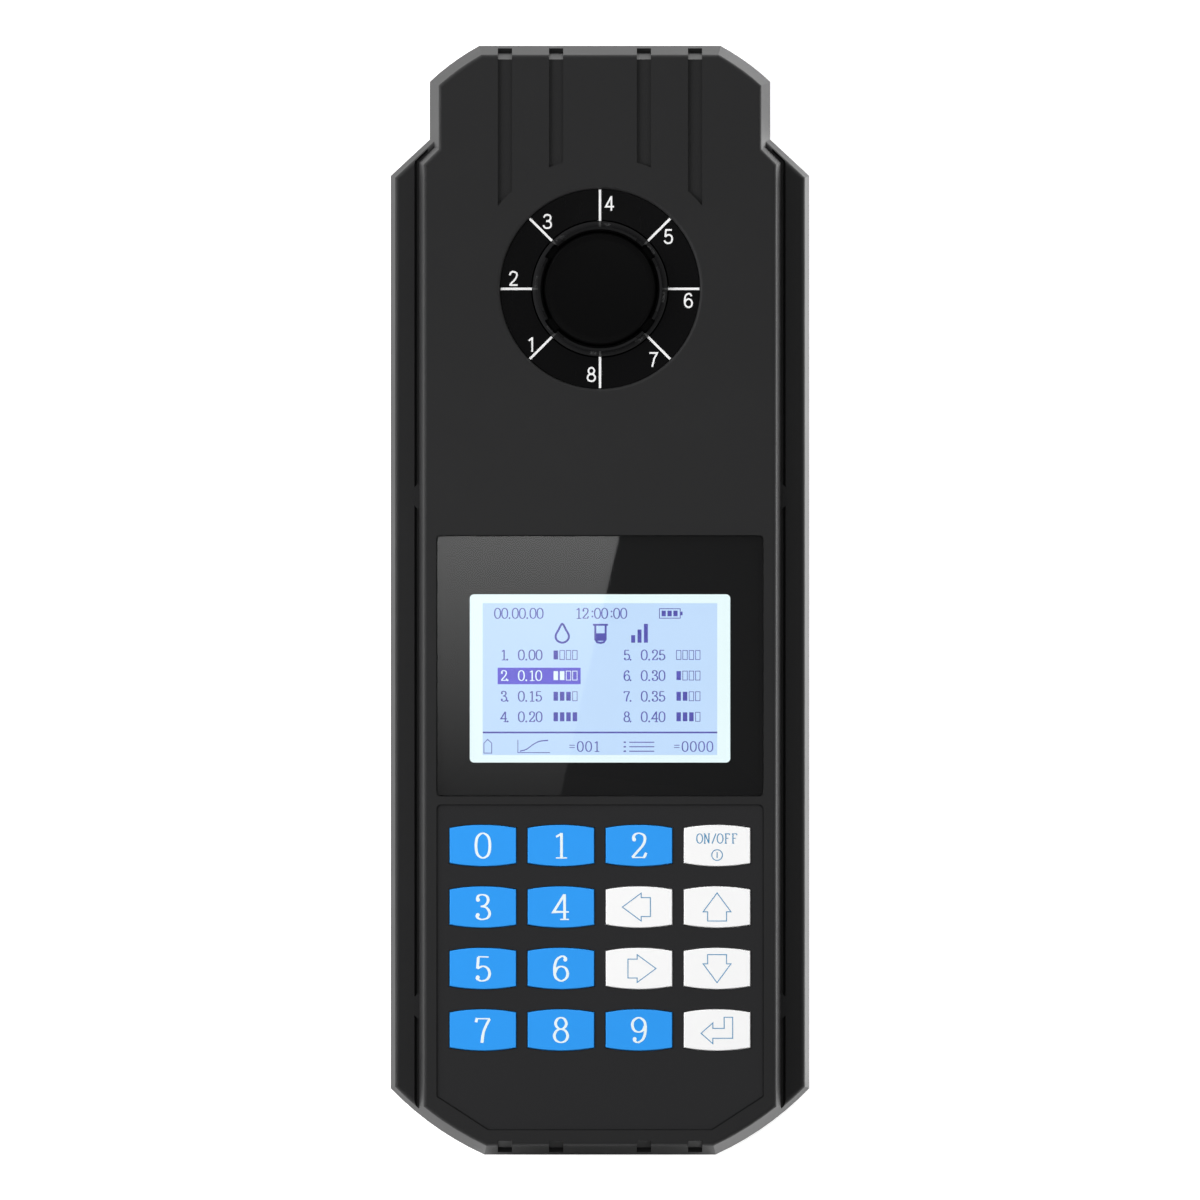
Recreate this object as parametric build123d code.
from build123d import *
import math
import os

# Sizes in millimetres. The instrument lies on its back: +Z points out of its face, +Y to the head with the
# sample well, and X is its width. The origin is under the middle of the case, on the surface it lies on.

# Case outline, at the parting line
head_corner_width = 10.48
head_corner_drop = 7.6
head_corner_bulge = 0.42
shoulder_step = 8.28
shoulder_from_head = 19.85
shoulder_drop = 7.7
tail_corner_width = 19.86
tail_corner_rise = 14.05
tail_corner_bulge = 1.15
deck_margin = 4.6
wing_reach = 5.06
deck_below_shoulder = 1.3

# Case depths and walls
foot_height = 1.5
rear_depth = 24.0
front_depth = 22.0
wing_height = 11.0
wall = 2.2
front_draft = 5.0
rear_draft = 4.0
face_edge_radius = 0.8
wing_edge_radius = 0.85
back_edge_radius = 3.0
valley_width = 1.0
valley_depth = 0.7

# Grip grooves at the head and tail
groove_width = 3.0
groove_inner_x = 9.3
groove_outer_x = 20.15
groove_face_depth = 0.6
groove_wall_depth = 1.0
groove_ledge_height = 6.0
groove_stop_radius = 27.9

# Dial and sample well
dial_from_head = 51.5
dial_above_panel = 52.2
dial_hole_radius = 21.2
dial_hole_edge = 0.7
dial_opening_radius = 19.0
dial_rim_radius = 23.5
dial_rim_drop = 1.3
ring_recess = 0.6
ring_fall = 0.4
ring_thickness = 1.0
ring_side_gap = 0.15
collar_radius = 14.3
collar_crest_radius = 13.14
collar_rise = 0.4
collar_facet_fall = 1.3
collar_mouth_fall = 0.6
collar_ring_gap = 0.3
well_radius = 12.2
well_mouth_gap = 0.45
well_wall = 2.1
well_rim_drop = 4.0
shallow_slot_radius = 13.07
shallow_slot_angle = 16.0
shallow_slot_depth = 1.4
deep_slot_radius = 13.5
deep_slot_angle = 7.5
slot_direction = 37.5
plug_radius = 12.0
plug_top_drop = 0.6
plug_edge_radius = 0.8
plug_dish_depth = 0.35
plug_underside_rise = 0.4
plug_tab_height = 1.5
plug_tab_gap = 0.25

# Optical bench beside the well
holder_base_half = 18.5
holder_base_thickness = 2.5
holder_post_height = 4.3
holder_post_radius = 2.6
holder_post_offset = 15.0
beam_height = 21.0
holder_pad_half = 9.0
holder_pad_reach = 17.5
beam_radius = 2.5
cell_window_radius = 3.5
cell_window_thickness = 1.0
optic_gap = 0.05
lamp_carrier_length = 14.5
carrier_half = 8.0
lamp_radius = 2.5
lamp_flange_radius = 2.9
lamp_flange_thickness = 1.0
lamp_barrel_length = 6.0
lens_radius = 4.0
lens_edge = 1.5
lens_crown = 1.2
detector_length = 11.5
filter_radius = 5.0
filter_thickness = 3.0
photodiode_radius = 4.6
photodiode_length = 5.0
small_board_thickness = 1.6
detector_board_half = 11.0

# Display
panel_corner = 1.0
panel_drop = 0.3
panel_gap = 0.12
lens_thickness = 1.0
mask_thickness = 0.2
display_frame_width = 55.2
display_frame_length = 35.66
display_frame_corner = 0.9
display_side_margin = 7.1
display_head_margin = 12.54
display_tail_margin = 7.2
lcd_side_border = 2.4
lcd_end_border = 4.17
lcd_opening_gap = 1.0
lcd_thickness = 1.5
lcd_mask_gap = 0.1

# Keypad
keypad_from_tail = 5.2
keypad_corner = 1.0
keypad_chamfer_x = 10.9
keypad_chamfer_y = 7.1
panel_keypad_gap = 1.7
overlay_recess = 0.9
overlay_thickness = 0.6
key_width = 14.05
key_side_length = 7.41
key_bulge = 0.66
key_column_gap = 2.49
key_row_gap = 4.3
keys_side_margin = 2.815
keys_from_top = 8.7
keys_from_bottom = 21.21
key_proud = 0.25
key_gap = 0.15
key_window_gap = 0.2
key_edge_radius = 0.15
key_flange_margin = 0.5
key_flange_thickness = 0.8
key_stem_radius = 1.5
key_travel = 0.4
dome_radius = 3.0
dome_height = 0.35
dome_clearance = 0.05
key_stem_length = 1.5

# Boards
board_thickness = 1.6
board_boss_gap = 1.7
front_board_margin = 1.2
board_post_radius = 1.9
board_screw_radius = 0.8
board_screw_head_radius = 1.6
board_screw_head_height = 1.0
board_screw_length = 4.2
screw_gap = 0.05
front_post_edge = 3.0
front_post_inset = 1.8
post_below_keys = 9.9
main_board_above_tray = 1.6
board_holder_gap = 7.5
main_board_tail_gap = 9.5
main_post_edge = 5.0
main_post_head_inset = 6.0
main_post_tail_gap = 6.7
chip_row_from_head = 30.0
processor_side = 16.0
processor_height = 1.4
memory_x = 19.0
memory_width = 10.0
memory_length = 8.0
converter_side = 8.0
chip_height = 1.2
crystal_length = 3.0
crystal_height = 2.0
chip_gap = 6.0
inductor_side = 14.0
inductor_height = 4.5
inductor_from_bay = 12.3
capacitor_radius = 3.0
capacitor_height = 8.0
capacitor_from_bay = 5.0
capacitor_pitch = 9.0
power_parts_x = 18.5
socket_width = 18.0
socket_length = 4.0
socket_height = 3.0
ribbon_width = 16.0
ribbon_thickness = 0.3
ribbon_from_bay = 20.7

# Battery bay
bay_from_tail = 19.2
bay_end_room = 7.1
bay_side_margin = 12.91
tray_wall = 1.4
tray_gap = 0.3
cell_radius = 7.25
cell_length = 50.5
cell_tip_radius = 2.6
cell_tip_length = 1.2
cell_count = 4
cell_gap = 0.3
cell_rise = 1.15
contact_thickness = 0.4
leaf_reach = 3.0
terminal_radius = 0.9

# Battery door
door_gap = 0.3
hinge_barrel_radius = 1.5
door_pin_radius = 0.8
door_pin_gap = 0.06
door_pin_overhang = 3.0
hinge_block_width = 5.0
latch_slot_width = 0.9
latch_slot_length = 9.0
latch_half_width = 7.0
thumb_notch_radius = 9.0
thumb_notch_depth = 1.0

# Fasteners, feet and seal
screw_head_radius = 2.75
screw_head_height = 2.4
screw_radius = 1.5
screw_reach = 5.5
counterbore_radius = 3.0
screw_hole_radius = 1.7
screw_land = 6.0
rear_boss_radius = 3.8
front_boss_radius = 3.4
insert_radius = 2.1
insert_length = 6.0
head_screw_x = 27.0
head_screw_from_head = 12.5
side_screw_inset = 7.86
mid_screw_above_panel = 8.2
tail_screw_from_tail = 31.5
foot_radius = 4.5
foot_recess = 1.0
head_foot_x = 24.0
head_foot_from_head = 27.5
tail_foot_x = 26.0
tail_foot_from_tail = 12.5
seal_width = 1.0
seal_height = 1.2

# The keys, row by row from the head end
KEY_NAMES = [
    ["key_0", "key_1", "key_2", "key_power"],
    ["key_3", "key_4", "key_left", "key_up"],
    ["key_5", "key_6", "key_right", "key_down"],
    ["key_7", "key_8", "key_9", "key_enter"],
]

# Sizes and places that follow from the sizes above
panel_width = display_frame_width + 2 * display_side_margin
panel_length = display_frame_length + display_head_margin + display_tail_margin
lcd_width = display_frame_width + 2 * lcd_side_border
lcd_length = display_frame_length + 2 * lcd_end_border
lcd_opening_width = lcd_width + 2 * lcd_opening_gap
lcd_opening_length = lcd_length + 2 * lcd_opening_gap
key_columns = len(KEY_NAMES[0])
key_rows = len(KEY_NAMES)
key_pitch_x = key_width + key_column_gap
key_pitch_y = key_side_length + 2 * key_bulge + key_row_gap
keypad_width = (key_columns - 1) * key_pitch_x + key_width + 2 * keys_side_margin
keypad_length = keys_from_top + (key_rows - 1) * key_pitch_y + keys_from_bottom
cell_pitch = 2 * cell_radius + cell_gap
bay_width = cell_count * cell_pitch + cell_gap + 2 * tray_wall + 2 * tray_gap
bay_length = cell_length + bay_end_room
deck_half = max(panel_width, keypad_width) / 2 + deck_margin
half_width = max(deck_half + wing_reach, bay_width / 2 + bay_side_margin)
case_length = (keypad_from_tail + keypad_length + panel_keypad_gap + panel_length
               + dial_above_panel + dial_from_head)
shoulder_half = half_width - shoulder_step
head_half = shoulder_half - head_corner_width
tail_half = half_width - tail_corner_width
head_y = case_length / 2
tail_y = -case_length / 2
back_z = foot_height
floor_z = back_z + wall
parting_z = back_z + rear_depth
wing_z = parting_z + wing_height
face_z = parting_z + front_depth
inner_face_z = face_z - wall
dial_y = head_y - dial_from_head
ring_top_z = face_z - ring_recess
ring_seat_z = ring_top_z - ring_thickness
collar_top_z = face_z + collar_rise
well_rim_z = face_z - well_rim_drop
keypad_bottom_y = tail_y + keypad_from_tail
keypad_top_y = keypad_bottom_y + keypad_length
panel_bottom_y = keypad_top_y + panel_keypad_gap
panel_y = panel_bottom_y + panel_length / 2
panel_top_y = panel_bottom_y + panel_length
display_y = panel_bottom_y + display_tail_margin + display_frame_length / 2
lens_top_z = face_z - panel_drop
mask_top_z = lens_top_z - lens_thickness
panel_seat_z = mask_top_z - mask_thickness
lcd_top_z = panel_seat_z - lcd_mask_gap
lcd_bottom_z = lcd_top_z - lcd_thickness
overlay_seat_z = face_z - overlay_recess
overlay_top_z = overlay_seat_z + overlay_thickness
key_top_z = overlay_top_z + key_proud
key_flange_z = inner_face_z - key_flange_thickness
key_stem_z = key_flange_z - key_stem_length
front_board_top_z = key_stem_z - key_travel - dome_clearance - dome_height
front_board_z = front_board_top_z - board_thickness
front_board_tail_y = keypad_bottom_y + front_board_margin
front_board_head_y = panel_top_y - front_board_margin
bay_tail_y = tail_y + bay_from_tail
bay_head_y = bay_tail_y + bay_length
hinge_y = bay_tail_y + hinge_barrel_radius
hinge_z = back_z + hinge_barrel_radius
cell_z = floor_z + cell_rise + cell_radius
bay_roof_z = cell_z + cell_radius + cell_gap
tray_top_z = bay_roof_z + tray_wall
main_board_z = tray_top_z + main_board_above_tray
main_board_top_z = main_board_z + board_thickness
main_board_head_y = dial_y - holder_base_half - board_holder_gap
main_board_tail_y = tail_y + main_board_tail_gap
main_post_tail_y = bay_head_y + main_post_tail_gap
ribbon_y = bay_head_y + ribbon_from_bay
holder_base_z = floor_z + holder_post_height
well_floor_z = holder_base_z + holder_base_thickness
window_seat_x = holder_pad_reach - cell_window_thickness
side_screw_x = half_width - side_screw_inset
board_half_width = side_screw_x - rear_boss_radius - board_boss_gap
front_post_x = board_half_width - front_post_edge
main_post_x = board_half_width - main_post_edge


# Small helpers

def block(x0, x1, y0, y1, z0, z1):
    """A box between two corners."""
    middle = Pos((x0 + x1) / 2, (y0 + y1) / 2, (z0 + z1) / 2)
    return middle * Box(x1 - x0, y1 - y0, z1 - z0)


def rod(x, y, z0, z1, radius):
    """An upright cylinder."""
    return Pos(x, y, (z0 + z1) / 2) * Cylinder(radius, z1 - z0)


def cross_rod(x0, x1, y, z, radius):
    """A cylinder along X."""
    return Pos((x0 + x1) / 2, y, z) * Rot(0, 90, 0) * Cylinder(radius, x1 - x0)


def slab(sketch, z0, z1):
    """A flat sketch carried from one height to another."""
    return extrude(Pos(0, 0, z0) * sketch, amount=z1 - z0, dir=(0, 0, 1))


def grown(sketch, amount):
    """The same outline with every side moved out, or in where the amount is negative."""
    return offset(sketch, amount, kind=Kind.INTERSECTION)


def drafted(sketch, z0, z1, angle):
    """A block whose sides lean in by the draft angle on the way from z0 to z1."""
    lean = abs(z1 - z0) * math.tan(math.radians(angle))
    near = (Pos(0, 0, z0) * sketch).faces()[0]
    far = (Pos(0, 0, z1) * grown(sketch, -lean)).faces()[0]
    return Part() + loft([near, far], ruled=True)


def polygon(points):
    """A flat face through the given corners, looking up."""
    wire = Wire.make_polygon([(x, y, 0) for x, y in points], close=True)
    face = Face(wire)
    if face.normal_at().Z < 0:
        face = -face
    return Sketch() + face


def bulged(start, end, rise):
    """An arc between two points that stands out from the middle of the outline by the rise."""
    middle_x = (start[0] + end[0]) / 2
    middle_y = (start[1] + end[1]) / 2
    across_x = end[1] - start[1]
    across_y = start[0] - end[0]
    length = math.hypot(across_x, across_y)
    side = math.copysign(rise / length, across_x * middle_x + across_y * middle_y)
    return ThreePointArc(start, (middle_x + across_x * side, middle_y + across_y * side), end)


def flip(point):
    """The same point on the other side of the middle line."""
    return (-point[0], point[1])


def together(solids):
    """Separate solids that share one node."""
    group = Part()
    for solid in solids:
        group += solid
    return group


def rounded_plan(width, length, corner, x=0.0, y=0.0):
    """A rectangle with round corners."""
    return Pos(x, y) * RectangleRounded(width, length, corner)


# Outlines

def case_plan():
    """The outline of both shells at the parting line."""
    head = (head_half, head_y)
    upper = (shoulder_half, head_y - head_corner_drop)
    neck = (shoulder_half, head_y - shoulder_from_head)
    shoulder = (half_width, head_y - shoulder_from_head - shoulder_drop)
    hip = (half_width, tail_y + tail_corner_rise)
    tail = (tail_half, tail_y)
    edges = [
        Line(flip(head), head),
        bulged(head, upper, head_corner_bulge),
        Line(upper, neck),
        Line(neck, shoulder),
        Line(shoulder, hip),
        bulged(hip, tail, tail_corner_bulge),
        Line(tail, flip(tail)),
        bulged(flip(tail), flip(hip), tail_corner_bulge),
        Line(flip(hip), flip(shoulder)),
        Line(flip(shoulder), flip(neck)),
        Line(flip(neck), flip(upper)),
        bulged(flip(upper), flip(head), head_corner_bulge),
    ]
    return Sketch() + -Face(Wire(edges))


def deck_plan():
    """The outline of the raised middle of the front shell, at the parting line."""
    neck_y = head_y - shoulder_from_head
    corner_y = neck_y - deck_below_shoulder
    side_y = corner_y - (deck_half - shoulder_half)
    beyond = 2 * case_length
    right = [
        (deck_half, -beyond),
        (deck_half, side_y),
        (shoulder_half, corner_y),
        (shoulder_half, neck_y),
        (beyond, neck_y),
        (beyond, beyond),
    ]
    left = [flip(point) for point in reversed(right)]
    return case_plan() & polygon(right + left)


def keypad_plan(margin=0.0):
    """The outline of the key sheet and its recess, with its two cut corners at the tail."""
    half = keypad_width / 2 + margin
    top = keypad_top_y + margin
    bottom = keypad_bottom_y - margin
    cut_x = half - keypad_chamfer_x
    cut_y = bottom + keypad_chamfer_y
    sheet = polygon([(-half, top), (-half, cut_y), (-cut_x, bottom), (cut_x, bottom), (half, cut_y), (half, top)])
    upper_corners = sheet.vertices().group_by(Axis.Y)[-1]
    return fillet(upper_corners, keypad_corner)


def key_plan(margin=0.0):
    """The outline of one key about its own middle: upright sides, crowned top and bottom."""
    half = key_width / 2 + margin
    side = key_side_length / 2 + margin
    crown = side + key_bulge
    edges = [
        Line((half, -side), (half, side)),
        ThreePointArc((half, side), (0, crown), (-half, side)),
        Line((-half, side), (-half, -side)),
        ThreePointArc((-half, -side), (0, -crown), (half, -side)),
    ]
    return Sketch() + Face(Wire(edges))


def key_places():
    """The name, column position and row position of each key."""
    places = []
    for row, names in enumerate(KEY_NAMES):
        for column, name in enumerate(names):
            x = (column - (key_columns - 1) / 2) * key_pitch_x
            y = keypad_top_y - keys_from_top - row * key_pitch_y
            places.append((name, x, y))
    return places


def mirrored_places(pairs):
    """Each given place and its twin on the other side."""
    return [(side * x, y) for x, y in pairs for side in (-1, 1)]


def case_screw_places():
    return mirrored_places([
        (head_screw_x, head_y - head_screw_from_head),
        (side_screw_x, panel_top_y + mid_screw_above_panel),
        (side_screw_x, tail_y + tail_screw_from_tail),
    ])


def front_post_places():
    gap_row_y = keypad_top_y + panel_keypad_gap / 2
    return mirrored_places([
        (front_post_x, panel_top_y - front_post_inset),
        (front_post_x, gap_row_y),
        (front_post_x, last_key_row_y() - post_below_keys),
    ])


def last_key_row_y():
    return keypad_top_y - keys_from_top - (key_rows - 1) * key_pitch_y


def main_post_places():
    return mirrored_places([
        (main_post_x, main_board_head_y - main_post_head_inset),
        (main_post_x, main_post_tail_y),
    ])


def holder_post_places():
    return mirrored_places([
        (holder_post_offset, dial_y - holder_post_offset),
        (holder_post_offset, dial_y + holder_post_offset),
    ])


def foot_places():
    return mirrored_places([
        (head_foot_x, head_y - head_foot_from_head),
        (tail_foot_x, tail_y + tail_foot_from_tail),
    ])


# Front shell

def stepped_block(inset, deck_top, wing_top, deck_radius, wing_radius):
    """The raised deck and the two lower wings beside it, as one body with rounded upper edges."""
    deck_outline = grown(deck_plan(), -inset) if inset else deck_plan()
    case_outline = grown(case_plan(), -inset) if inset else case_plan()
    deck = drafted(deck_outline, parting_z, deck_top, front_draft)
    wings = drafted(case_outline, parting_z, wing_top, front_draft)
    if deck_radius:
        deck = fillet(deck.edges().group_by(Axis.Z)[-1], deck_radius)
    wings = fillet(wings.edges().group_by(Axis.Z)[-1], wing_radius)
    return deck + wings


def valley_cut():
    """The narrow channel between each wing and the side of the deck."""
    lean = wing_height * math.tan(math.radians(front_draft))
    section = grown(deck_plan(), -lean)
    upper = (Pos(0, 0, wing_z) * grown(section, valley_width)).faces()[0]
    lower = (Pos(0, 0, wing_z - valley_depth) * grown(section, valley_width / 2)).faces()[0]
    ring = Part() + loft([lower, upper], ruled=True)
    ring -= drafted(deck_plan(), parting_z, face_z, front_draft)
    keep = shoulder_half + face_edge_radius / 2
    middle = block(-keep, keep, 2 * tail_y, 2 * head_y, 0, 2 * face_z)
    return ring - middle


def end_groove(x, end):
    """One upright groove in an end wall. The end is 1 at the head and -1 at the tail."""
    slope = math.tan(math.radians(front_draft))
    low = groove_ledge_height
    high = front_depth + face_edge_radius
    inner_low = head_y - low * slope - groove_wall_depth
    inner_high = head_y - high * slope - groove_wall_depth
    outer = head_y + wall
    side = Wire.make_polygon(
        [
            (x - groove_width / 2, end * inner_low, parting_z + low),
            (x - groove_width / 2, end * outer, parting_z + low),
            (x - groove_width / 2, end * outer, parting_z + high),
            (x - groove_width / 2, end * inner_high, parting_z + high),
        ],
        close=True,
    )
    return extrude(Face(side), amount=groove_width, dir=(1, 0, 0))


def face_groove(x):
    """One shallow groove in the face, from the head down to a circle about the dial."""
    low_y = dial_y
    floor = face_z - groove_face_depth
    strip = block(x - groove_width / 2, x + groove_width / 2, low_y, head_y + wall, floor, face_z + wall)
    return strip - rod(0, dial_y, floor - wall, face_z + 2 * wall, groove_stop_radius)


def grip_grooves():
    cuts = []
    for x in (-groove_outer_x, -groove_inner_x, groove_inner_x, groove_outer_x):
        cuts.append(end_groove(x, 1))
        cuts.append(end_groove(x, -1))
        cuts.append(face_groove(x))
    return cuts


def seal_path(height_low, height_high):
    """The band that the sealing cord fills, along the inner half of the wall."""
    outer = grown(case_plan(), seal_width - wall)
    inner = grown(case_plan(), -wall)
    return slab(outer - inner, height_low, height_high)


def front_shell():
    outer = stepped_block(0, face_z, wing_z, face_edge_radius, wing_edge_radius)
    shell = outer - valley_cut()
    shell -= stepped_block(wall, inner_face_z, wing_z - wall, 0, wing_edge_radius)
    shell += rod(0, dial_y, inner_face_z - dial_rim_drop, inner_face_z + wall / 2, dial_rim_radius)
    for x, y in case_screw_places():
        shell += rod(x, y, parting_z, inner_face_z + wall / 2, front_boss_radius) & outer
    for x, y in front_post_places():
        shell += rod(x, y, front_board_top_z, inner_face_z + wall / 4, board_post_radius)
    for cut in grip_grooves():
        shell -= cut
    shell -= dial_hole()
    shell -= rod(0, dial_y, parting_z, face_z, dial_opening_radius)
    shell -= slab(rounded_plan(panel_width, panel_length, panel_corner, 0, panel_y), panel_seat_z, face_z + wall)
    shell -= block(
        -lcd_opening_width / 2, lcd_opening_width / 2,
        display_y - lcd_opening_length / 2, display_y + lcd_opening_length / 2,
        parting_z, face_z,
    )
    shell -= slab(keypad_plan(), overlay_seat_z, face_z + wall)
    for name, x, y in key_places():
        shell -= slab(Pos(x, y) * key_plan(key_window_gap), parting_z, face_z)
    for x, y in case_screw_places():
        shell -= rod(x, y, parting_z, parting_z + insert_length + wall, insert_radius)
    for x, y in front_post_places():
        shell -= rod(x, y, front_board_top_z, front_board_top_z + board_screw_length - board_thickness + wall / 4,
                     board_screw_radius + screw_gap)
    return shell - seal_path(parting_z, parting_z + seal_height / 2)


def dial_hole():
    """The space the dial ring sits in, with a rounded edge where it meets the face."""
    low = face_z - dial_hole_edge
    wide = dial_hole_radius + dial_hole_edge
    middle = dial_hole_edge * math.cos(math.radians(45))
    edges = [
        Line((0, 0, ring_seat_z), (dial_hole_radius, 0, ring_seat_z)),
        Line((dial_hole_radius, 0, ring_seat_z), (dial_hole_radius, 0, low)),
        ThreePointArc((dial_hole_radius, 0, low), (wide - middle, 0, low + middle), (wide, 0, face_z)),
        Line((wide, 0, face_z), (wide, 0, face_z + wall)),
        Line((wide, 0, face_z + wall), (0, 0, face_z + wall)),
        Line((0, 0, face_z + wall), (0, 0, ring_seat_z)),
    ]
    return Pos(0, dial_y, 0) * revolve(Face(Wire(edges)), Axis.Z)


# Rear shell

def rear_block(inset, low_z):
    sketch = grown(case_plan(), -inset) if inset else case_plan()
    return drafted(sketch, parting_z, low_z, rear_draft)


def rear_shell():
    shell = rear_block(0, back_z)
    shell = fillet(shell.edges().group_by(Axis.Z)[0], back_edge_radius)
    outer = shell
    shell -= rear_block(wall, floor_z)
    posts = []
    for x, y in case_screw_places():
        posts.append(rod(x, y, back_z, parting_z, rear_boss_radius))
    for x, y in main_post_places():
        posts.append(rod(x, y, back_z, main_board_z, board_post_radius + wall / 4))
    for x, y in holder_post_places():
        posts.append(rod(x, y, back_z, holder_base_z, holder_post_radius))
    for x, y in foot_places():
        posts.append(rod(x, y, back_z, floor_z + foot_recess, foot_radius + wall / 2))
    for side in (-1, 1):
        posts.append(hinge_block(side))
    for post in posts:
        shell += post & outer
    for x, y in case_screw_places():
        shell -= rod(x, y, back_z, parting_z - screw_land, counterbore_radius)
        shell -= rod(x, y, back_z, parting_z, screw_hole_radius)
    for x, y in main_post_places():
        shell -= rod(x, y, main_board_z - board_screw_length + board_thickness - wall / 4, main_board_z,
                     board_screw_radius + screw_gap)
    for x, y in holder_post_places():
        shell -= rod(x, y, holder_base_z + holder_base_thickness - board_screw_length - wall / 4, holder_base_z,
                     board_screw_radius + screw_gap)
    for x, y in foot_places():
        shell -= rod(x, y, back_z, back_z + foot_recess, foot_radius)
    shell -= block(-bay_width / 2, bay_width / 2, bay_tail_y - door_gap, bay_head_y + door_gap,
                   back_z, parting_z)
    pin_end = bay_width / 2 + door_pin_overhang
    shell -= cross_rod(-pin_end, pin_end, hinge_y, hinge_z, door_pin_radius)
    notch = Pos(0, bay_head_y + door_gap, back_z - thumb_notch_radius + thumb_notch_depth)
    shell -= notch * Sphere(thumb_notch_radius)
    return shell - seal_path(parting_z - seal_height / 2, parting_z)


def hinge_block(side):
    """The thick place in the floor that holds one end of the door's pin."""
    inner = side * bay_width / 2
    outer = side * (bay_width / 2 + hinge_block_width)
    return block(
        min(inner, outer), max(inner, outer),
        hinge_y - 2 * hinge_barrel_radius, hinge_y + 2 * hinge_barrel_radius,
        back_z, hinge_z + 2 * hinge_barrel_radius,
    )


def seam_gasket():
    return seal_path(parting_z - seal_height / 2, parting_z + seal_height / 2)


# Fasteners and feet

def case_screw(x, y):
    land_z = parting_z - screw_land
    head = rod(x, y, land_z - screw_head_height, land_z, screw_head_radius)
    socket = Pos(x, y, land_z - screw_head_height) * Box(screw_radius * 0.4, screw_head_radius * 1.3, screw_head_height)
    cross = Pos(x, y, land_z - screw_head_height) * Box(screw_head_radius * 1.3, screw_radius * 0.4, screw_head_height)
    shank = rod(x, y, land_z, parting_z + screw_reach, screw_radius)
    return head + shank - socket - cross


def case_screws():
    return together([case_screw(x, y) for x, y in case_screw_places()])


def threaded_inserts():
    bushes = []
    for x, y in case_screw_places():
        bush = rod(x, y, parting_z, parting_z + insert_length, insert_radius)
        bushes.append(bush - rod(x, y, parting_z, parting_z + insert_length, screw_radius + screw_gap))
    return together(bushes)


def board_screw(x, y, seat_z, up):
    """A small screw under its board's seat. Up is 1 where its shank points up and -1 where it points down."""
    far = seat_z + up * board_screw_length
    head_end = seat_z - up * board_screw_head_height
    shank = rod(x, y, min(seat_z, far), max(seat_z, far), board_screw_radius)
    head = rod(x, y, min(seat_z, head_end), max(seat_z, head_end), board_screw_head_radius)
    slot = Pos(x, y, head_end) * Box(2 * board_screw_head_radius, board_screw_radius / 2, board_screw_head_height)
    return head + shank - slot


def board_screws():
    screws = [board_screw(x, y, front_board_z, 1) for x, y in front_post_places()]
    screws += [board_screw(x, y, main_board_top_z, -1) for x, y in main_post_places()]
    screws += [board_screw(x, y, well_floor_z, -1) for x, y in holder_post_places()]
    return together(screws)


def rubber_feet():
    feet = []
    for x, y in foot_places():
        foot = rod(x, y, 0, back_z + foot_recess, foot_radius)
        foot = fillet(foot.edges().group_by(Axis.Z)[0], foot_height / 3)
        feet.append(foot)
    return together(feet)


# Dial, collar and plug

def turned(points, x=0.0, y=0.0):
    """A body turned about an upright axis from (radius, height) corners."""
    wire = Wire.make_polygon([(radius, 0, height) for radius, height in points], close=True)
    return Pos(x, y, 0) * revolve(Face(wire), Axis.Z)


def dial_ring():
    inner = collar_radius + collar_ring_gap
    outer = dial_hole_radius - ring_side_gap
    points = [
        (inner, ring_seat_z),
        (outer, ring_seat_z),
        (outer, ring_top_z),
        (inner, ring_top_z - ring_fall),
    ]
    return turned(points, 0, dial_y)


def sector(radius, direction, half_angle, z0, z1):
    """A wedge of a disc about the well's axis."""
    reach = 2 * radius
    low = math.radians(direction - half_angle)
    high = math.radians(direction + half_angle)
    wedge = polygon([(0, 0), (reach * math.cos(low), reach * math.sin(low)),
                     (reach * math.cos(high), reach * math.sin(high))])
    upright = slab(wedge, z0, z1)
    return Pos(0, dial_y, 0) * (upright & rod(0, 0, z0, z1, radius))


def slot_directions():
    return [slot_direction, 180 - slot_direction, 180 + slot_direction, -slot_direction]


def well_collar():
    mouth_radius = well_radius + well_mouth_gap
    points = [
        (mouth_radius, well_rim_z),
        (collar_radius, well_rim_z),
        (collar_radius, collar_top_z - collar_facet_fall),
        (collar_crest_radius, collar_top_z),
        (mouth_radius, collar_top_z - collar_mouth_fall),
    ]
    collar = turned(points, 0, dial_y)
    for direction in slot_directions():
        collar -= sector(shallow_slot_radius, direction, shallow_slot_angle,
                         collar_top_z - shallow_slot_depth, collar_top_z + wall)
        collar -= sector(deep_slot_radius, direction, deep_slot_angle, well_rim_z, collar_top_z + wall)
    return collar


def well_plug():
    top_z = face_z - plug_top_drop
    plug = rod(0, dial_y, well_rim_z, top_z, plug_radius)
    plug = fillet(plug.edges().group_by(Axis.Z)[-1], plug_edge_radius)
    flat = plug_radius - 2 * plug_edge_radius
    dish_radius = (flat ** 2 + plug_dish_depth ** 2) / (2 * plug_dish_depth)
    plug -= Pos(0, dial_y, top_z - plug_dish_depth + dish_radius) * Sphere(dish_radius)
    tab_angle = deep_slot_angle - math.degrees(plug_tab_gap / plug_radius)
    for direction in slot_directions():
        plug += sector(deep_slot_radius - plug_tab_gap, direction, tab_angle, well_rim_z,
                       well_rim_z + plug_tab_height)
    plug -= rod(0, dial_y, well_rim_z, well_rim_z + plug_underside_rise, plug_radius)
    return plug


# Optical bench

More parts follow.
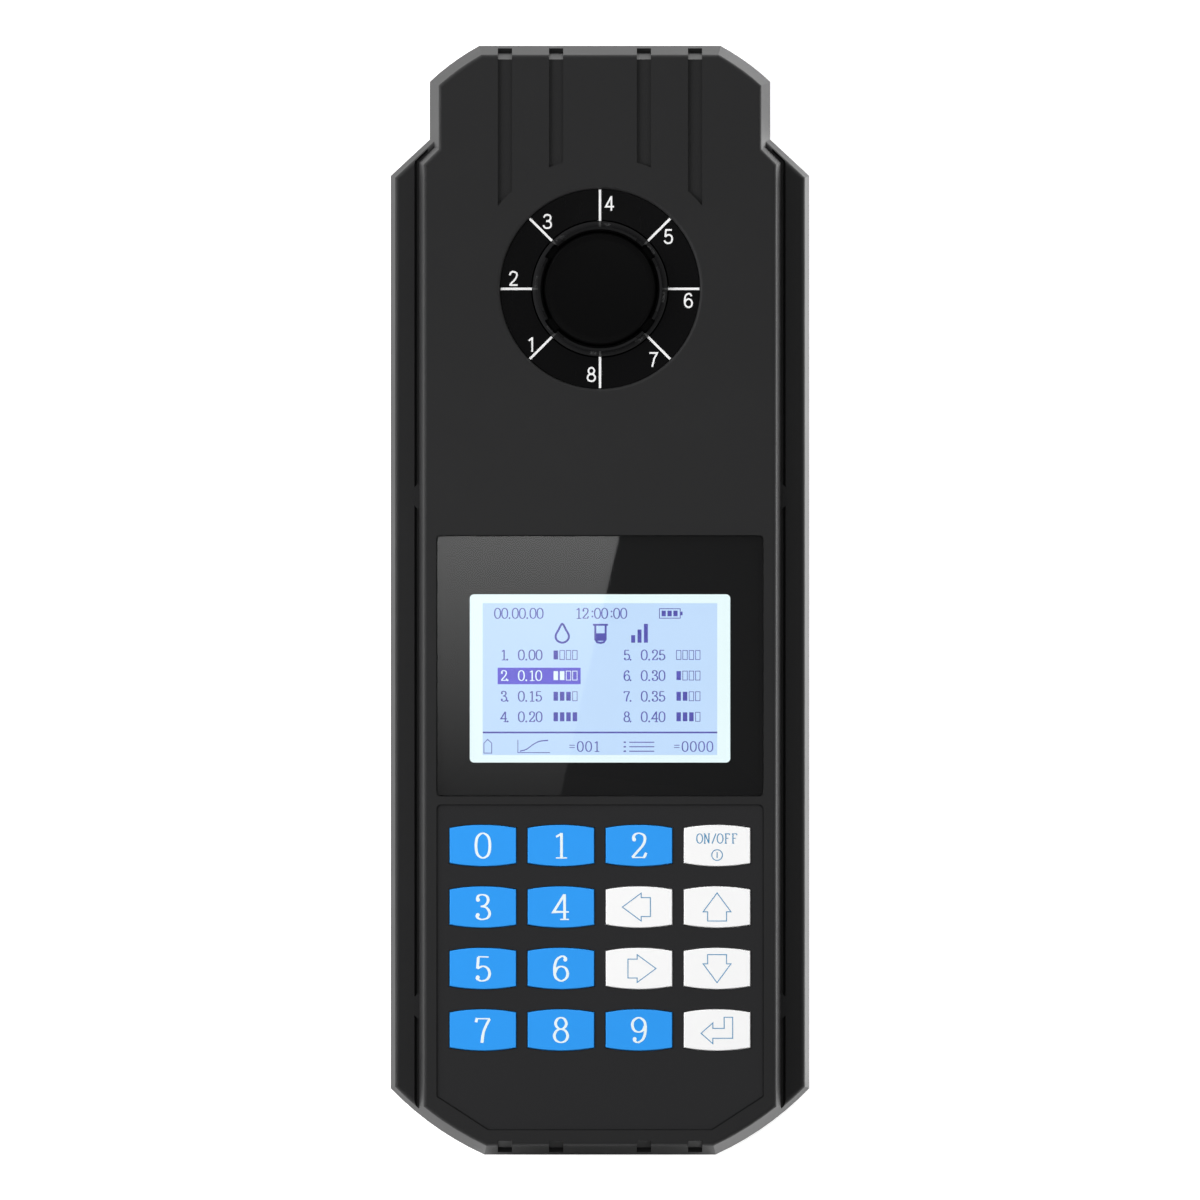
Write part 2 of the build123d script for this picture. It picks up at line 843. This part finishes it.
def cell_holder():
    body = rod(0, dial_y, holder_base_z, well_rim_z, well_radius + well_wall)
    body += block(-holder_base_half, holder_base_half, dial_y - holder_base_half, dial_y + holder_base_half,
                  holder_base_z, well_floor_z)
    body += block(-holder_pad_reach, holder_pad_reach, dial_y - holder_pad_half, dial_y + holder_pad_half,
                  holder_base_z, beam_height + holder_pad_half)
    body -= rod(0, dial_y, well_floor_z, well_rim_z, well_radius)
    body -= cross_rod(-holder_pad_reach, holder_pad_reach, dial_y, beam_height, beam_radius)
    for side in (-1, 1):
        inner = side * window_seat_x
        outer = side * holder_pad_reach
        body -= cross_rod(min(inner, outer), max(inner, outer), dial_y, beam_height, cell_window_radius + optic_gap)
    for x, y in holder_post_places():
        body -= rod(x, y, holder_base_z, well_floor_z, board_screw_radius + screw_gap)
    return body


def cell_windows():
    left = cross_rod(-holder_pad_reach, -window_seat_x, dial_y, beam_height, cell_window_radius)
    right = cross_rod(window_seat_x, holder_pad_reach, dial_y, beam_height, cell_window_radius)
    return together([left, right])


def bench_block(x0, x1):
    return block(x0, x1, dial_y - carrier_half, dial_y + carrier_half,
                 beam_height - carrier_half, beam_height + carrier_half)


def lamp_carrier():
    inner = -holder_pad_reach
    outer = inner - lamp_carrier_length
    carrier = bench_block(outer, inner)
    carrier -= cross_rod(outer, inner, dial_y, beam_height, lamp_radius + optic_gap)
    carrier -= cross_rod(inner - lens_edge - lens_crown, inner, dial_y, beam_height, lens_radius + optic_gap)
    carrier -= cross_rod(outer, outer + lamp_flange_thickness, dial_y, beam_height, lamp_flange_radius + optic_gap)
    return carrier


def lamp():
    outer = -holder_pad_reach - lamp_carrier_length
    flange = cross_rod(outer, outer + lamp_flange_thickness, dial_y, beam_height, lamp_flange_radius)
    barrel_end = outer + lamp_flange_thickness + lamp_barrel_length
    barrel = cross_rod(outer, barrel_end, dial_y, beam_height, lamp_radius)
    barrel += Pos(barrel_end, dial_y, beam_height) * Sphere(lamp_radius)
    return flange + barrel


def lamp_lens():
    inner = -holder_pad_reach
    edge = cross_rod(inner - lens_edge, inner, dial_y, beam_height, lens_radius)
    crown_radius = (lens_radius ** 2 + lens_crown ** 2) / (2 * lens_crown)
    crown = Pos(inner - lens_edge - lens_crown + crown_radius, dial_y, beam_height) * Sphere(crown_radius)
    crown &= cross_rod(inner - lens_edge - lens_crown, inner - lens_edge, dial_y, beam_height, lens_radius)
    return edge + crown


def lamp_board():
    outer = -holder_pad_reach - lamp_carrier_length
    return bench_block(outer - small_board_thickness, outer)


def detector_housing():
    inner = holder_pad_reach
    outer = inner + detector_length
    housing = bench_block(inner, outer)
    housing -= cross_rod(inner, outer, dial_y, beam_height, beam_radius)
    housing -= cross_rod(inner + lens_edge, outer, dial_y, beam_height, photodiode_radius + optic_gap)
    housing -= cross_rod(inner + lens_edge, inner + lens_edge + filter_thickness, dial_y, beam_height,
                         filter_radius + optic_gap)
    return housing


def light_filter():
    start = holder_pad_reach + lens_edge
    return cross_rod(start, start + filter_thickness, dial_y, beam_height, filter_radius)


def photodiode():
    outer = holder_pad_reach + detector_length
    can = cross_rod(outer - photodiode_length, outer, dial_y, beam_height, photodiode_radius)
    eye = cross_rod(outer - photodiode_length, outer - photodiode_length + small_board_thickness / 2, dial_y,
                    beam_height, beam_radius)
    return can - eye


def detector_board():
    start = holder_pad_reach + detector_length
    return block(start, start + small_board_thickness, dial_y - detector_board_half, dial_y + detector_board_half,
                 beam_height - detector_board_half, beam_height + detector_board_half)


# Display

def display_lens():
    plan = rounded_plan(panel_width - 2 * panel_gap, panel_length - 2 * panel_gap, panel_corner, 0, panel_y)
    lens = slab(plan, mask_top_z, lens_top_z)
    return chamfer(lens.edges().group_by(Axis.Z)[-1], panel_gap)


def display_mask():
    plan = rounded_plan(panel_width - 2 * panel_gap, panel_length - 2 * panel_gap, panel_corner, 0, panel_y)
    opening = rounded_plan(display_frame_width, display_frame_length, display_frame_corner, 0, display_y)
    return slab(plan - opening, panel_seat_z, mask_top_z)


def lcd_panel():
    return block(-lcd_width / 2, lcd_width / 2, display_y - lcd_length / 2, display_y + lcd_length / 2,
                 lcd_bottom_z, lcd_top_z)


def lcd_backlight():
    return block(-lcd_width / 2, lcd_width / 2, display_y - lcd_length / 2, display_y + lcd_length / 2,
                 front_board_top_z, lcd_bottom_z)


# Keypad

def keypad_overlay():
    sheet = slab(keypad_plan(-panel_gap), overlay_seat_z, overlay_top_z)
    for name, x, y in key_places():
        sheet -= slab(Pos(x, y) * key_plan(key_gap), overlay_seat_z, overlay_top_z)
    return sheet


def key(x, y):
    """One key: a cap that shows through the sheet, a flange that stops it, and a stem over its dome."""
    cap = slab(key_plan(), inner_face_z, key_top_z)
    cap = fillet(cap.edges().group_by(Axis.Z)[-1], key_edge_radius)
    flange_width = key_width + 2 * key_flange_margin
    flange_length = key_side_length + 2 * key_bulge + 2 * key_flange_margin
    flange = Pos(0, 0, (key_flange_z + inner_face_z) / 2) * Box(flange_width, flange_length, key_flange_thickness)
    stem = rod(0, 0, key_stem_z, key_flange_z, key_stem_radius)
    return Pos(x, y, 0) * (cap + flange + stem)


def front_board_plan():
    half = board_half_width
    cut = keypad_chamfer_y
    bottom = front_board_tail_y
    top = front_board_head_y
    return polygon([(-half, top), (-half, bottom + cut), (-half + cut, bottom), (half - cut, bottom),
                    (half, bottom + cut), (half, top)])


def keypad_board():
    board = slab(front_board_plan(), front_board_z, front_board_top_z)
    for x, y in front_post_places():
        board -= rod(x, y, front_board_z, front_board_top_z, board_screw_radius + screw_gap)
    return board


def key_domes():
    domes = []
    for name, x, y in key_places():
        dome_sphere = (dome_radius ** 2 + dome_height ** 2) / (2 * dome_height)
        ball = Pos(x, y, front_board_top_z + dome_height - dome_sphere) * Sphere(dome_sphere)
        domes.append(ball & rod(x, y, front_board_top_z, front_board_top_z + dome_height, dome_radius))
    return together(domes)


# Boards

def main_board():
    board = block(-board_half_width, board_half_width, main_board_tail_y, main_board_head_y,
                  main_board_z, main_board_top_z)
    for x, y in main_post_places():
        board -= rod(x, y, main_board_z, main_board_top_z, board_screw_radius + screw_gap)
    return board


def chip(x, y, width, length, height):
    """A flat component on the main board."""
    return block(x - width / 2, x + width / 2, y - length / 2, y + length / 2,
                 main_board_top_z, main_board_top_z + height)


def capacitor(from_bay):
    """An upright round component over the battery bay."""
    return rod(-power_parts_x, bay_head_y - from_bay, main_board_top_z, main_board_top_z + capacitor_height,
               capacitor_radius)


def board_parts():
    """The larger components on the main board."""
    chip_row_y = main_board_head_y - chip_row_from_head
    crystal_y = chip_row_y + (processor_side + crystal_length) / 2 + chip_gap
    inductor_y = bay_head_y - inductor_from_bay
    return together([
        chip(0, chip_row_y, processor_side, processor_side, processor_height),
        chip(-memory_x, chip_row_y, memory_width, memory_length, chip_height),
        chip(memory_x, crystal_y, converter_side, converter_side, chip_height),
        chip(0, crystal_y, memory_length, crystal_length, crystal_height),
        chip(power_parts_x, inductor_y, inductor_side, inductor_side, inductor_height),
        capacitor(capacitor_from_bay),
        capacitor(capacitor_from_bay + capacitor_pitch),
    ])


def ribbon_sockets():
    half = socket_width / 2
    low = block(-half, half, ribbon_y - socket_length / 2, ribbon_y + socket_length / 2,
                main_board_top_z, main_board_top_z + socket_height)
    high = block(-half, half, ribbon_y - socket_length / 2, ribbon_y + socket_length / 2,
                 front_board_z - socket_height, front_board_z)
    return together([low, high])


def ribbon_cable():
    return block(-ribbon_width / 2, ribbon_width / 2, ribbon_y - ribbon_thickness / 2,
                 ribbon_y + ribbon_thickness / 2, main_board_top_z + socket_height, front_board_z - socket_height)


# Batteries

def cell_columns():
    return [(index - (cell_count - 1) / 2) * cell_pitch for index in range(cell_count)]


def battery_tray():
    half = bay_width / 2 - tray_gap
    tail = bay_tail_y
    head = bay_head_y
    tray = block(-half, half, tail, head, hinge_z + hinge_barrel_radius + door_gap, tray_top_z)
    tray -= block(-half + tray_wall, half - tray_wall, tail + tray_wall, head - tray_wall, back_z, bay_roof_z)
    for x in (cell_columns()[0], cell_columns()[-1]):
        tray -= rod(x, head - 2 * tray_wall, bay_roof_z, tray_top_z, terminal_radius + optic_gap)
    return tray


def contact_y():
    """The middle of the inner face of the tray at the tail and at the head."""
    return bay_tail_y + tray_wall, bay_head_y - tray_wall


def cells_y():
    """Where the cells start and end: they lean against the flat contacts at the head."""
    start = contact_y()[1] - contact_thickness - cell_tip_length - cell_length
    return start, start + cell_length


def battery_cells():
    start, end = cells_y()
    cells = []
    for x in cell_columns():
        can = Pos(x, (start + end) / 2, cell_z) * Rot(90, 0, 0) * Cylinder(cell_radius, end - start)
        tip = Pos(x, end + cell_tip_length / 2, cell_z) * Rot(90, 0, 0) * Cylinder(cell_tip_radius, cell_tip_length)
        cells.append(can + tip)
    return together(cells)


def battery_contacts():
    head = contact_y()[1]
    half = cell_radius * 0.7
    return together([
        block(x - half, x + half, head - contact_thickness, head, cell_z - half, cell_z + half)
        for x in cell_columns()
    ])


def battery_springs():
    """Bent leaf springs that push the cells against the flat contacts."""
    tail = contact_y()[0]
    reach = cells_y()[0] - tail
    half = cell_radius * 0.7
    profile = [
        (tail, cell_z - half),
        (tail + contact_thickness, cell_z - half),
        (tail + contact_thickness, cell_z + half - leaf_reach),
        (tail + reach, cell_z),
        (tail + reach, cell_z + contact_thickness),
        (tail + contact_thickness, cell_z + half),
        (tail, cell_z + half),
    ]
    springs = []
    for x in cell_columns():
        side = Wire.make_polygon([(x - leaf_reach, y, z) for y, z in profile], close=True)
        springs.append(extrude(Face(side), amount=2 * leaf_reach, dir=(1, 0, 0)))
    return together(springs)


def battery_posts():
    """Two pins that carry the current from the tray to the main board."""
    y = bay_head_y - 2 * tray_wall
    return together([
        rod(x, y, bay_roof_z, main_board_z, terminal_radius)
        for x in (cell_columns()[0], cell_columns()[-1])
    ])


# Battery door

def battery_door():
    half = bay_width / 2 - door_gap
    door = block(-half, half, hinge_y, bay_head_y, back_z, floor_z)
    door += cross_rod(-half, half, hinge_y, hinge_z, hinge_barrel_radius)
    for side in (-1, 1):
        inner = side * latch_half_width
        outer = side * (latch_half_width + latch_slot_width)
        door -= block(min(inner, outer), max(inner, outer), bay_head_y - latch_slot_length, bay_head_y,
                      back_z, floor_z)
    notch = Pos(0, bay_head_y, back_z - thumb_notch_radius + thumb_notch_depth)
    door -= notch * Sphere(thumb_notch_radius)
    door -= cross_rod(-half, half, hinge_y, hinge_z, door_pin_radius + door_pin_gap)
    return door


def door_pin():
    pin_end = bay_width / 2 + door_pin_overhang
    return cross_rod(-pin_end, pin_end, hinge_y, hinge_z, door_pin_radius)


def main():
    parts = {
        "front_shell": front_shell(),
        "rear_shell": rear_shell(),
        "seam_gasket": seam_gasket(),
        "case_screws": case_screws(),
        "threaded_inserts": threaded_inserts(),
        "board_screws": board_screws(),
        "rubber_feet": rubber_feet(),
        "dial_ring": dial_ring(),
        "well_collar": well_collar(),
        "well_plug": well_plug(),
        "cell_holder": cell_holder(),
        "cell_windows": cell_windows(),
        "lamp_carrier": lamp_carrier(),
        "lamp": lamp(),
        "lamp_lens": lamp_lens(),
        "lamp_board": lamp_board(),
        "detector_housing": detector_housing(),
        "light_filter": light_filter(),
        "photodiode": photodiode(),
        "detector_board": detector_board(),
        "display_lens": display_lens(),
        "display_mask": display_mask(),
        "lcd_panel": lcd_panel(),
        "lcd_backlight": lcd_backlight(),
        "keypad_overlay": keypad_overlay(),
        "keypad_board": keypad_board(),
        "key_domes": key_domes(),
        "main_board": main_board(),
        "board_parts": board_parts(),
        "ribbon_sockets": ribbon_sockets(),
        "ribbon_cable": ribbon_cable(),
        "battery_tray": battery_tray(),
        "battery_cells": battery_cells(),
        "battery_contacts": battery_contacts(),
        "battery_springs": battery_springs(),
        "battery_posts": battery_posts(),
        "battery_door": battery_door(),
        "door_pin": door_pin(),
    }
    for name, x, y in key_places():
        parts[name] = key(x, y)
    os.makedirs("parts", exist_ok=True)
    for name, shape in parts.items():
        export_step(shape, os.path.join("parts", name + ".step"))


main()
